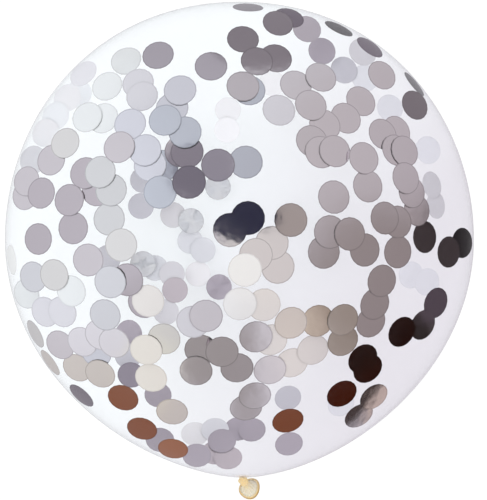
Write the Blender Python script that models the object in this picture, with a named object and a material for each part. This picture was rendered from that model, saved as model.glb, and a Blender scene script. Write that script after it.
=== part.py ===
"""Giant confetti balloon: one dipped latex skin, blown up, knotted and lying on its side.

The body's axis runs along Y, with the crown at +Y and the knotted neck at -Y. The balloon
lies on a small flat spot, whose centre is the origin. The tail droops past the knot, so
anyone who looks down on it sees its outside, with the rolled lip beyond. A sealed balloon is
one solid here, so the hollow ends at the bottom of the mouth.
"""

import math

import bmesh
import bpy
from mathutils import Matrix, Vector

# Driving dimensions of the body, in metres
BODY_WIDTH = 0.900  # across the widest section
CROWN_HEIGHT = 0.4545  # from the widest section to the top of the crown
NECK_DROP = 0.461  # from the widest section to the waist of the neck
TEAT_DROP = 0.0015  # how far the skin is drawn out where it gathers
TEAT_WIDTH = 0.070  # across that drawn-out skin
FLAT_SPOT_WIDTH = 0.134  # across the spot that the balloon lies on
CROWN_FULLNESS = 0.94  # 1 is an ellipse, and less is fuller
NECK_FULLNESS = 1.19  # 1 is an ellipse, and more draws in towards the neck

# Driving dimensions of the neck, knot and tail, in metres and degrees
WAIST_WIDTH = 0.012  # the gathered neck, between body and knot
NECK_SIDE_STEP = 0.0065  # of the neck from the body's axis, towards +X
KNOT_WIDTH = 0.0175
KNOT_LENGTH = 0.014
PINCH_WIDTH = 0.009  # the tail where it leaves the knot
TAIL_LENGTH = 0.033  # from the knot to the lip
MOUTH_WIDTH = 0.0430  # across the rolled lip
LIP_BEAD_WIDTH = 0.0050  # thickness of the rolled lip
LIP_BEAD_START = -110.0  # where the roll leaves the tail, in degrees from its outermost line
MOUTH_DEPTH = 0.019  # of the hollow inside the lip
TAIL_WALL = 0.0016
DROOP_RADIUS = 0.0138  # of the bend that the neck makes at the knot
DROOP_ANGLE = 62.0  # between the body's axis and the tail
DROOP_LEAN = 21.0  # of the bend, from straight down towards +X

# Folds and soft shapes, as shares of the radius where they are
PLEATS = 15
WAIST_PLEAT = 0.12
TAIL_PLEAT = 0.09
KNOT_WRAP = 0.20
KNOT_TURNS = 1.4  # how often the wrapped tube goes round along the knot
MOUTH_CORNERS = 3
MOUTH_CORNER = 0.045
MOUTH_CORNER_TURN = 80.0  # degrees from +X to the first corner
FLARE_POWER = 1.5  # 1 is a straight cone, and more is a trumpet
SIDE_STEP_POWER = 6  # the more, the closer to the neck the side step starts

# Fineness of the facets
SIDES = 60
BODY_RINGS = 17  # in each half of the body
KNOT_RINGS = 9
TAIL_RINGS = 6
LIP_RINGS = 8
MOUTH_RINGS = 4

BODY_RADIUS = BODY_WIDTH / 2
AXIS_HEIGHT = math.sqrt(BODY_RADIUS**2 - (FLAT_SPOT_WIDTH / 2) ** 2)
KNOT_START = NECK_DROP + TAIL_WALL
KNOT_END = KNOT_START + KNOT_LENGTH
LIP_PLACE = KNOT_END + TAIL_LENGTH
BEAD_RADIUS = LIP_BEAD_WIDTH / 2
LIP_RADIUS = MOUTH_WIDTH / 2 - BEAD_RADIUS
TAIL_END_RADIUS = LIP_RADIUS + BEAD_RADIUS * math.cos(math.radians(LIP_BEAD_START))
TAIL_REACH = TAIL_LENGTH + BEAD_RADIUS * math.sin(math.radians(LIP_BEAD_START))


class Station:
    """One section across the balloon: how far along the axis it is, and its outline.

    The distance is counted from the widest section, and grows towards the neck.
    """

    def __init__(self, distance, radius, pleat=0.0, wrap=0.0, wrap_turn=0.0, corner=0.0):
        self.distance = distance
        self.radius = radius
        self.pleat = pleat
        self.wrap = wrap
        self.wrap_turn = wrap_turn
        self.corner = corner

    def outline(self, turn):
        """Radius at one turn round the axis, with the folds."""
        corner_turn = turn - math.radians(MOUTH_CORNER_TURN)
        folds = (
            self.pleat * math.cos(PLEATS * turn)
            + self.wrap * math.cos(turn - self.wrap_turn)
            + self.corner * math.cos(MOUTH_CORNERS * corner_turn)
        )
        return self.radius * (1 + folds)


def axis_at(distance):
    """Point on the axis and how the section there is turned: straight, then drooping."""
    past_waist = distance - NECK_DROP
    towards_neck = min(max(distance / NECK_DROP, 0), 1)
    side = NECK_SIDE_STEP * towards_neck**SIDE_STEP_POWER
    point = Vector((side, -min(distance, NECK_DROP), AXIS_HEIGHT))
    if past_waist <= 0:
        return point, Matrix.Identity(3)
    lean = math.radians(DROOP_LEAN)
    down = Vector((math.sin(lean), 0, -math.cos(lean)))
    out = Vector((0, -1, 0))
    angle = min(past_waist / DROOP_RADIUS, math.radians(DROOP_ANGLE))
    point += out * DROOP_RADIUS * math.sin(angle) + down * DROOP_RADIUS * (1 - math.cos(angle))
    straight = past_waist - DROOP_RADIUS * angle
    point += (out * math.cos(angle) + down * math.sin(angle)) * straight
    return point, Matrix.Rotation(angle, 3, out.cross(down))


def crown_stations():
    """Sections from just below the crown to just before the widest one."""
    stations = []
    for step in range(1, BODY_RINGS + 1):
        angle = math.pi / 2 * step / (BODY_RINGS + 1)
        radius = BODY_RADIUS * math.sin(angle) ** CROWN_FULLNESS
        stations.append(Station(-CROWN_HEIGHT * math.cos(angle), radius))
    return stations


def neck_stations():
    """Sections from the widest one down to the shoulder round the waist."""
    stations = []
    shoulder = 2 * WAIST_WIDTH
    last = math.asin((shoulder / BODY_RADIUS) ** (1 / NECK_FULLNESS))
    for step in range(BODY_RINGS + 1):
        angle = math.pi / 2 + (math.pi / 2 - last) * step / BODY_RINGS
        radius = BODY_RADIUS * math.sin(angle) ** NECK_FULLNESS
        drawn = TEAT_DROP * math.exp(-((2 * radius / TEAT_WIDTH) ** 2))
        stations.append(Station(-(NECK_DROP - TEAT_DROP) * math.cos(angle) + drawn, radius))
    return stations


def waist_stations(shoulder):
    """The fillet from the shoulder to the gathered waist, a quarter of an ellipse."""
    stations = []
    waist = WAIST_WIDTH / 2
    for step, share in ((1, 0.3), (2, 0.7), (3, 1.0)):
        angle = math.pi / 2 * step / 3
        radius = waist + (shoulder.radius - waist) * (1 - math.sin(angle))
        distance = NECK_DROP + (shoulder.distance - NECK_DROP) * math.cos(angle)
        stations.append(Station(distance, radius, pleat=WAIST_PLEAT * share))
    return stations


def knot_stations():
    """The knot: a lump whose bulge goes round as it goes along, as a turn of tube does."""
    stations = []
    for step in range(1, KNOT_RINGS + 1):
        share = step / (KNOT_RINGS + 1)
        neck = (WAIST_WIDTH + (PINCH_WIDTH - WAIST_WIDTH) * share) / 2
        swell = math.sqrt(math.sin(math.pi * share))
        radius = neck + (KNOT_WIDTH / 2 - neck) * swell
        stations.append(
            Station(
                KNOT_START + KNOT_LENGTH * share,
                radius,
                wrap=KNOT_WRAP * swell,
                wrap_turn=2 * math.pi * KNOT_TURNS * share,
            )
        )
    return stations


def tail_radius(share):
    """Outer radius of the tail, at a share of the way from the knot to the lip's roll."""
    pinch = PINCH_WIDTH / 2
    return pinch + (TAIL_END_RADIUS - pinch) * share**FLARE_POWER


def tail_stations():
    """The tail's outside, pleated at the knot and three-cornered at the lip."""
    stations = []
    for step in range(TAIL_RINGS + 1):
        share = step / (TAIL_RINGS + 1)
        stations.append(
            Station(
                KNOT_END + TAIL_REACH * share,
                tail_radius(share),
                pleat=TAIL_PLEAT * (1 - share),
                corner=MOUTH_CORNER * share,
            )
        )
    return stations


def lip_stations():
    """The rolled lip: a bead on the tail's outside that goes round to its inside."""
    stations = []
    for step in range(LIP_RINGS + 1):
        angle = math.radians(LIP_BEAD_START + (180 - LIP_BEAD_START) * step / LIP_RINGS)
        stations.append(
            Station(
                LIP_PLACE + BEAD_RADIUS * math.sin(angle),
                LIP_RADIUS + BEAD_RADIUS * math.cos(angle),
                corner=MOUTH_CORNER,
            )
        )
    return stations


def mouth_stations():
    """The hollow inside the lip, one wall in from the tail's outside."""
    stations = []
    for step in range(1, MOUTH_RINGS + 1):
        depth = BEAD_RADIUS + (MOUTH_DEPTH - BEAD_RADIUS) * step / MOUTH_RINGS
        share = (TAIL_LENGTH - depth) / TAIL_REACH
        stations.append(
            Station(
                LIP_PLACE - depth,
                max(tail_radius(share) - TAIL_WALL, TAIL_WALL),
                pleat=TAIL_PLEAT * (1 - share),
                corner=MOUTH_CORNER * share,
            )
        )
    return stations


def all_stations():
    """Every section, in order from the crown to the bottom of the mouth."""
    body = crown_stations() + neck_stations()
    neck = waist_stations(body[-1]) + knot_stations()
    return body + neck + tail_stations() + lip_stations() + mouth_stations()


def place_ring(ring, turn_layer, station):
    """Moves the points of one ring onto their section."""
    point, turned = axis_at(station.distance)
    for vert in ring:
        turn = vert[turn_layer]
        spoke = Vector((math.cos(turn), 0, math.sin(turn)))
        vert.co = point + turned @ spoke * station.outline(turn)


def close_ring(mesh, edges, distance):
    """Closes an end ring with a fan about the axis."""
    face = bmesh.ops.edgeloop_fill(mesh, edges=edges)["faces"]
    middle = bmesh.ops.poke(mesh, faces=face)["verts"][0]
    middle.co = axis_at(distance)[0]


def loft(stations):
    """One closed skin through all the sections."""
    mesh = bmesh.new()
    turn_layer = mesh.verts.layers.float.new("turn")
    ring = bmesh.ops.create_circle(mesh, segments=SIDES, radius=1)["verts"]
    for vert in ring:
        vert[turn_layer] = math.atan2(vert.co.y, vert.co.x)
    first_edges = list(mesh.edges)
    edges = first_edges
    place_ring(ring, turn_layer, stations[0])
    for station in stations[1:]:
        made = bmesh.ops.extrude_edge_only(mesh, edges=edges)["geom"]
        ring = [item for item in made if isinstance(item, bmesh.types.BMVert)]
        edges = [item for item in made if isinstance(item, bmesh.types.BMEdge)]
        place_ring(ring, turn_layer, station)
    close_ring(mesh, edges, stations[-1].distance)
    close_ring(mesh, first_edges, -CROWN_HEIGHT)
    return mesh


def cut_flat_spot(mesh):
    """Takes off what lies below the ground, and closes the cut with one flat face."""
    cut = bmesh.ops.bisect_plane(
        mesh,
        geom=list(mesh.verts) + list(mesh.edges) + list(mesh.faces),
        plane_co=(0, 0, 0),
        plane_no=(0, 0, -1),
        clear_outer=True,
    )["geom_cut"]
    rim = [item for item in cut if isinstance(item, bmesh.types.BMEdge)]
    bmesh.ops.edgeloop_fill(mesh, edges=rim)


def clear_latex():
    """Thin natural latex with no dye: clear, with a faint cool tint and a soft gloss."""
    material = bpy.data.materials.new("clear_latex")
    material.use_nodes = True
    shader = material.node_tree.nodes["Principled BSDF"]
    shader.inputs["Base Color"].default_value = (0.90, 0.91, 0.95, 1)
    shader.inputs["Roughness"].default_value = 0.18
    shader.inputs["Metallic"].default_value = 0
    shader.inputs["Alpha"].default_value = 0.35
    return material


def latex_balloon():
    """The whole balloon as one named object."""
    mesh = loft(all_stations())
    cut_flat_spot(mesh)
    bmesh.ops.recalc_face_normals(mesh, faces=list(mesh.faces))
    data = bpy.data.meshes.new("latex_balloon")
    mesh.to_mesh(data)
    mesh.free()
    data.shade_smooth()
    data.set_sharp_from_angle(angle=math.radians(40))
    data.materials.append(clear_latex())
    balloon = bpy.data.objects.new("latex_balloon", data)
    bpy.context.scene.collection.objects.link(balloon)
    return balloon


def main():
    for leftover in list(bpy.data.objects):
        bpy.data.objects.remove(leftover)
    latex_balloon()


main()
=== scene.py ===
"""Dresses the giant confetti balloon: clear latex skin, knotted neck and silver foil confetti.

All sizes are in metres. The balloon lies on its flat spot at the origin, with its crown at +Y
and its knotted neck at -Y, and the camera looks down on it. The places where the confetti
clings are named as the photograph shows them, in its pixels, and are cast onto the skin.
"""

import logging
import math
import random
from collections.abc import Iterator
from dataclasses import dataclass
from enum import Enum

import bmesh
import bpy
from mathutils import Matrix, Vector
from mathutils.bvhtree import BVHTree

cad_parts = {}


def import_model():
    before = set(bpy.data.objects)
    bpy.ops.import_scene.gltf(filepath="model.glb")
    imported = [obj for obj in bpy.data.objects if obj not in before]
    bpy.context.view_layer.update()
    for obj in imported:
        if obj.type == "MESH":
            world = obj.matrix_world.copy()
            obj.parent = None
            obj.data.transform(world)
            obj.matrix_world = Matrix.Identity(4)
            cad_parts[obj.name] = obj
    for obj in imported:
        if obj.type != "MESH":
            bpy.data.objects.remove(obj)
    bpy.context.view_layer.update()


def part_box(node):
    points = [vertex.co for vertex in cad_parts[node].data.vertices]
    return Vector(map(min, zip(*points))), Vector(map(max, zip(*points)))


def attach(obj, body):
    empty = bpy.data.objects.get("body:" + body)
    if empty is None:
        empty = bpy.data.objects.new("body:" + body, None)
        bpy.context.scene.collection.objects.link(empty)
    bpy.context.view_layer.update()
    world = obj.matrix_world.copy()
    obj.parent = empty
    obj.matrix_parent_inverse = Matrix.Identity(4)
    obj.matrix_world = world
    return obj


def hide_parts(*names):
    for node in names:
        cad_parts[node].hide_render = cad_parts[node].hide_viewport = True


CAD_NODE = "latex_balloon"
BODY = "root"
LOG = logging.getLogger("balloon")

# Faces that meet at a steeper angle than this keep a sharp edge.
SHARP_FROM_DEGREES = 50.0
# A disc that is seen at a grazing angle is moved as if it sloped no more than this.
LEAST_SLOPE = 0.4
# Where the Mix node has its factor, its two colours and its result.
COLOUR_MIX_INPUTS = (0, 6, 7)
COLOUR_MIX_OUTPUT = 2
# How a screen turns its values into light.
SCREEN_WHITE = 255
SCREEN_OFFSET = 0.055
SCREEN_GAMMA = 2.4

Colour = tuple[float, float, float]
Place = tuple[float, float]


class Side(Enum):
    """Which half of the skin a disc clings to, as the camera sees it."""

    NEAR = "near"
    FAR = "far"


class Bend(Enum):
    """How the film of a disc is bent."""

    DOMED = "domed"
    CURLED = "curled"
    CRUMPLED = "crumpled"


class FoilToneAndPaintedReflection(Enum):
    """How a disc shows: the tone painted into its film, and how much of it is frosted. Besides the foil's own
    silver, the tones are painted reflections of dark, brown and pale surroundings, and on the far discs
    painted haze of the skin in front of them.
    """

    # All tones but the foil's own silver are painted reflections or painted haze.
    SILVER = ((0.935, 0.90, 0.915), 0.0)
    SAGE = ((0.83, 0.81, 0.78), 0.06)
    SAND = ((0.84, 0.77, 0.70), 0.06)
    IVORY = ((0.90, 0.89, 0.87), 0.35)
    PEARL = ((0.81, 0.82, 0.81), 0.35)
    ASH = ((0.77, 0.765, 0.755), 0.06)
    OPAL = ((0.74, 0.725, 0.75), 0.30)
    LILAC = ((0.79, 0.79, 0.84), 0.10)
    MIST = ((0.79, 0.785, 0.80), 0.06)
    SKY = ((0.69, 0.72, 0.78), 0.06)
    ROSE = ((0.77, 0.72, 0.735), 0.0)
    DUSK = ((0.62, 0.565, 0.59), 0.0)
    DOVE = ((0.735, 0.655, 0.555), 0.0)
    CREAM = ((0.74, 0.70, 0.665), 0.40)
    CHALK = ((0.78, 0.78, 0.76), 0.70)
    TAN = ((1.0, 0.94, 0.84), 0.0)
    AMBER = ((0.88, 0.76, 0.62), 0.0)
    PEWTER = ((0.60, 0.56, 0.60), 0.0)
    SLATE = ((0.37, 0.34, 0.36), 0.0)
    INK = ((0.28, 0.24, 0.28), 0.0)
    SMOKE = ((0.48, 0.128, 0.069), 0.0)
    UMBER = ((0.565, 0.26, 0.115), 0.0)
    COPPER = ((0.65, 0.51, 0.415), 0.0)
    COAL = ((0.09, 0.085, 0.09), 0.0)
    GHOST = ((0.80, 0.79, 0.80), 0.85)
    FAINT = ((0.845, 0.865, 0.885), 0.85)
    PALE = ((0.70, 0.70, 0.73), 0.85)
    VEIL = ((0.60, 0.585, 0.61), 0.85)
    HAZE = ((0.51, 0.50, 0.54), 0.80)
    MAUVE = ((0.415, 0.375, 0.42), 0.70)
    HEATHER = ((0.52, 0.465, 0.495), 0.70)
    STEEL = ((0.375, 0.34, 0.395), 0.30)
    CRINKLE = ((0.70, 0.71, 0.73), 0.55)


def from_display(red: float, green: float, blue: float) -> Colour:
    """Turns a colour as a screen shows it, from 0 to 255, into linear light."""
    shares = ((value / SCREEN_WHITE + SCREEN_OFFSET) / (1 + SCREEN_OFFSET) for value in (red, green, blue))
    return tuple(share**SCREEN_GAMMA for share in shares)


def opaque(colour: Colour) -> tuple[float, float, float, float]:
    """Adds an alpha of 1 to a colour."""
    return (*colour, 1.0)


@dataclass(frozen=True)
class Noise:
    """A noise over a piece: waves in a metre, octaves, and the strength of the finer ones."""

    scale: float
    detail: float
    roughness: float = 0.5


@dataclass(frozen=True)
class Creases:
    """Fine creases: their noise, how strongly they show, and how deep they are."""

    noise: Noise
    strength: float
    depth: float


@dataclass(frozen=True)
class NodeBoard:
    """A node tree with short ways to add nodes to it."""

    tree: bpy.types.NodeTree

    def feed(self, socket: bpy.types.NodeSocket, value: object) -> None:
        """Links an input, or sets its value.

        Args:
            socket: The input.
            value: A node or socket to link, a colour or a plain value.
        """
        if isinstance(value, bpy.types.Node):
            value = value.outputs[0]
        if isinstance(value, bpy.types.NodeSocket):
            self.tree.links.new(value, socket)
        else:
            socket.default_value = opaque(value) if socket.type == "RGBA" else value

    def add(
        self, kind: str, inputs: dict[str | int, object] | None = None, **settings: object
    ) -> bpy.types.Node:
        """Adds a node, sets its own properties and feeds its inputs.

        Args:
            kind: Blender's name for the node's type.
            inputs: What goes into its inputs, by name or index.
            **settings: Properties of the node, by name.

        Returns:
            The new node.
        """
        node = self.tree.nodes.new(kind)
        for name, value in settings.items():
            setattr(node, name, value)
        for key, value in (inputs or {}).items():
            self.feed(node.inputs[key], value)
        return node

    def math(self, operation: str, *values: object, clamp: bool = False) -> bpy.types.NodeSocket:
        """Adds a Math node of numbers and sockets, kept between 0 and 1 if asked."""
        node = self.add("ShaderNodeMath", dict(enumerate(values)), operation=operation, use_clamp=clamp)
        return node.outputs["Value"]

    def mix(self, factor: object, first: object, second: object, kind: str = "MIX") -> bpy.types.NodeSocket:
        """Mixes two colours. The factor is the share of the second."""
        inputs = dict(zip(COLOUR_MIX_INPUTS, (factor, first, second)))
        return self.add("ShaderNodeMix", inputs, data_type="RGBA", blend_type=kind).outputs[COLOUR_MIX_OUTPUT]

    def blend(self, factor: object, first: bpy.types.Node, second: bpy.types.Node) -> bpy.types.Node:
        """Mixes two shaders. The factor is the share of the second."""
        return self.add("ShaderNodeMixShader", {0: factor, 1: first, 2: second})

    def place(self) -> bpy.types.NodeSocket:
        """Reads the piece's own Object coordinates."""
        return self.add("ShaderNodeTexCoord").outputs["Object"]

    def attribute(self, name: str, output: str = "Fac") -> bpy.types.NodeSocket:
        """Reads one of the piece's own attributes."""
        return self.add("ShaderNodeAttribute", attribute_name=name).outputs[output]

    def noise(self, noise: Noise) -> bpy.types.NodeSocket:
        """Adds a noise over the piece, and gives its strength."""
        values = {"Scale": noise.scale, "Detail": noise.detail, "Roughness": noise.roughness}
        return self.add("ShaderNodeTexNoise", values | {"Vector": self.place()}).outputs["Fac"]

    def creased(self, creases: Creases) -> bpy.types.NodeSocket:
        """Adds fine creases, and gives the normals that they make."""
        values = {"Strength": creases.strength, "Distance": creases.depth}
        return self.add("ShaderNodeBump", values | {"Height": self.noise(creases.noise)}).outputs["Normal"]

    def worn(self, middle: float, spread: float, rub: bpy.types.NodeSocket) -> bpy.types.NodeSocket:
        """Gives a roughness that a noise spreads round its middle value."""
        return self.math("ADD", self.math("MULTIPLY", rub, spread), middle - spread / 2)

    def surface(self, shader: bpy.types.Node) -> None:
        """Makes a shader the surface of the material."""
        self.add("ShaderNodeOutputMaterial", {"Surface": shader})


def new_material(name: str) -> tuple[bpy.types.Material, NodeBoard]:
    """Makes an empty node material.

    Args:
        name: The material's name.

    Returns:
        The material, and the board of its nodes.
    """
    material = bpy.data.materials.new(name)
    material.use_nodes = True
    material.node_tree.nodes.clear()
    return material, NodeBoard(material.node_tree)


@dataclass(frozen=True)
class ClearLatex:
    """The blown-up skin: clear and cool in colour, with a faint haze, a film's gloss and painted shade
    towards the right and the bottom.
    """

    passed: Colour = (0.972, 0.988, 1.0)
    passed_in_shade: Colour = (0.895, 0.882, 0.912)
    haze_colour: Colour = (0.88, 0.88, 0.92)
    gathered_colour: Colour = (0.88, 0.66, 0.34)
    haze: float = 0.003
    limb_haze: float = 0.03
    limb_power: float = 3.0
    gloss_at_front: float = 0.006
    gloss_at_limb: float = 0.30
    gloss_power: float = 10.0
    gloss_roughness: float = 0.28
    slant_blend: float = 0.5
    shade_middle: float = 0.05
    shade_across: float = 2.1
    shade_along: float = -0.9
    shade_clouds: float = 0.35
    clouds: Noise = Noise(4.0, 3.0)
    cloud_lift: float = 0.5

    def material(self) -> bpy.types.Material:
        """Builds the material from the piece's `gather` attribute and how the skin faces.

        Returns:
            The material.
        """
        material, board = new_material("clear_latex")
        slant = board.add("ShaderNodeLayerWeight", {"Blend": self.slant_blend}).outputs["Facing"]
        gather = board.attribute("gather")
        cloud = board.noise(self.clouds)

        # Painted shade: towards the right and the bottom, and in cloudy patches, the skin passes the darker
        # in-shade colour, standing in for the floor's shadow seen through it.
        side = board.add("ShaderNodeSeparateXYZ", {"Vector": board.place()})
        across = board.math("MULTIPLY", side.outputs["X"], self.shade_across)
        along = board.math("MULTIPLY", side.outputs["Y"], self.shade_along)
        slope = board.math("ADD", board.math("ADD", across, along), self.shade_middle)
        shade = board.math("ADD", slope, board.math("MULTIPLY", cloud, self.shade_clouds), clamp=True)
        light = board.add("ShaderNodeBsdfTransparent", {"Color": self.passed})
        shaded = board.add("ShaderNodeBsdfTransparent", {"Color": self.passed_in_shade})
        clear = board.blend(shade, light, shaded)

        colour = board.mix(gather, self.haze_colour, self.gathered_colour)
        veil = board.add("ShaderNodeBsdfTranslucent", {"Color": colour})
        limb = board.math("MULTIPLY", board.math("POWER", slant, self.limb_power), self.limb_haze)
        lifted = board.math("ADD", cloud, self.cloud_lift)
        hazed = board.math("MULTIPLY", board.math("ADD", limb, self.haze), lifted)
        body = board.blend(board.math("ADD", hazed, gather, clamp=True), clear, veil)

        # Both faces of the film reflect, which makes 2F / (1 + F) of one face's share F.
        gloss = board.add("ShaderNodeBsdfGlossy", {"Roughness": self.gloss_roughness})
        rise = board.math("MULTIPLY", board.math("POWER", slant, self.gloss_power), self.gloss_at_limb)
        fresnel = board.math("ADD", rise, self.gloss_at_front)
        film = board.math("DIVIDE", board.math("MULTIPLY", fresnel, 2.0), board.math("ADD", fresnel, 1.0))
        board.surface(board.blend(film, body, gloss))
        return material


@dataclass(frozen=True)
class NaturalLatex:
    """The slack latex of knot, tail and lip: pale where it is thin, amber where it is gathered."""

    thin: Colour = from_display(208, 203, 184)
    thick: Colour = from_display(210, 184, 132)
    bead: Colour = from_display(150, 112, 26)
    least_alpha: float = 0.50
    roughness: float = 0.34
    roughness_spread: float = 0.2
    light_inside: float = 0.35
    light_reach: Colour = (0.0025, 0.0020, 0.0012)
    mottle: Noise = Noise(260.0, 4.0, 0.6)
    mottle_lift: float = 0.5
    creases: Creases = Creases(Noise(900.0, 3.0), strength=0.25, depth=0.0004)

    def material(self) -> bpy.types.Material:
        """Builds the material from the piece's `gather` and `bead` attributes.

        Returns:
            The material.
        """
        material, board = new_material("natural_latex")
        mottle = board.noise(self.mottle)
        lifted = board.math("ADD", mottle, self.mottle_lift)
        uneven = board.math("MULTIPLY", board.attribute("gather"), lifted, clamp=True)
        amber = board.mix(uneven, self.thin, self.thick)
        inputs = {
            "Base Color": board.mix(board.attribute("bead"), amber, self.bead),
            "Alpha": board.math("ADD", uneven, self.least_alpha, clamp=True),
            "Roughness": board.worn(self.roughness, self.roughness_spread, mottle),
            "Subsurface Weight": self.light_inside,
            "Subsurface Radius": self.light_reach,
            "Subsurface Scale": 1.0,
            "Normal": board.creased(self.creases),
        }
        board.surface(board.add("ShaderNodeBsdfPrincipled", inputs))
        return material


@dataclass(frozen=True)
class SilverFoil:
    """Bright metallised film, a little creased, frosted on some discs, with painted shade along its cut edge.
    """

    roughness: float = 0.08
    roughness_spread: float = 0.06
    edge_from: float = 0.94
    edge_shade: float = 0.76
    rub: Noise = Noise(70.0, 4.0, 0.6)
    creases: Creases = Creases(Noise(30.0, 2.0), strength=0.15, depth=0.002)

    def material(self) -> bpy.types.Material:
        """Builds the material from the piece's `foil_and_reflection_tone`, `frost` and `rim` attributes.

        Returns:
            The material.
        """
        material, board = new_material("silver_foil")
        bare = board.math("SUBTRACT", 1.0, board.attribute("frost"))
        # Painted shade: a band at the rim is darkened, standing in for how the cut edge reflects; it fades on
        # frosted discs.
        cut = board.math("GREATER_THAN", board.attribute("rim"), self.edge_from)
        painted_edge_shade = board.math("MULTIPLY", cut, bare)
        # The tone is the foil's silver, or a painted reflection or painted haze.
        foil_and_reflection_tone = board.attribute("foil_and_reflection_tone", "Color")
        inputs = {
            "Base Color": board.mix(painted_edge_shade, foil_and_reflection_tone, (self.edge_shade,) * 3, "MULTIPLY"),
            "Metallic": bare,
            "Roughness": board.worn(self.roughness, self.roughness_spread, board.noise(self.rub)),
            "Normal": board.creased(self.creases),
        }
        board.surface(board.add("ShaderNodeBsdfPrincipled", inputs))
        return material


@dataclass(frozen=True)
class StudioPaper:
    """Grey paper that glows, so that it shows white."""

    colour: Colour = (0.25, 0.25, 0.25)
    glow_colour: Colour = (1.0, 1.0, 1.0)
    glow: float = 0.68

    def material(self) -> bpy.types.Material:
        """Builds the material.

        Returns:
            The material.
        """
        material, board = new_material("studio_paper")
        paper = board.add("ShaderNodeBsdfDiffuse", {"Color": self.colour})
        glow = board.add("ShaderNodeEmission", {"Color": self.glow_colour, "Strength": self.glow})
        board.surface(board.add("ShaderNodeAddShader", {0: paper, 1: glow}))
        return material


@dataclass(frozen=True)
class Section:
    """One section across the balloon, at a distance from the widest one towards the neck."""

    distance: float
    radius: float
    pleat: float = 0.0
    wrap: float = 0.0
    wrap_turn: float = 0.0
    corner: float = 0.0
    gather: float = 0.0
    bead: float = 0.0


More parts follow.
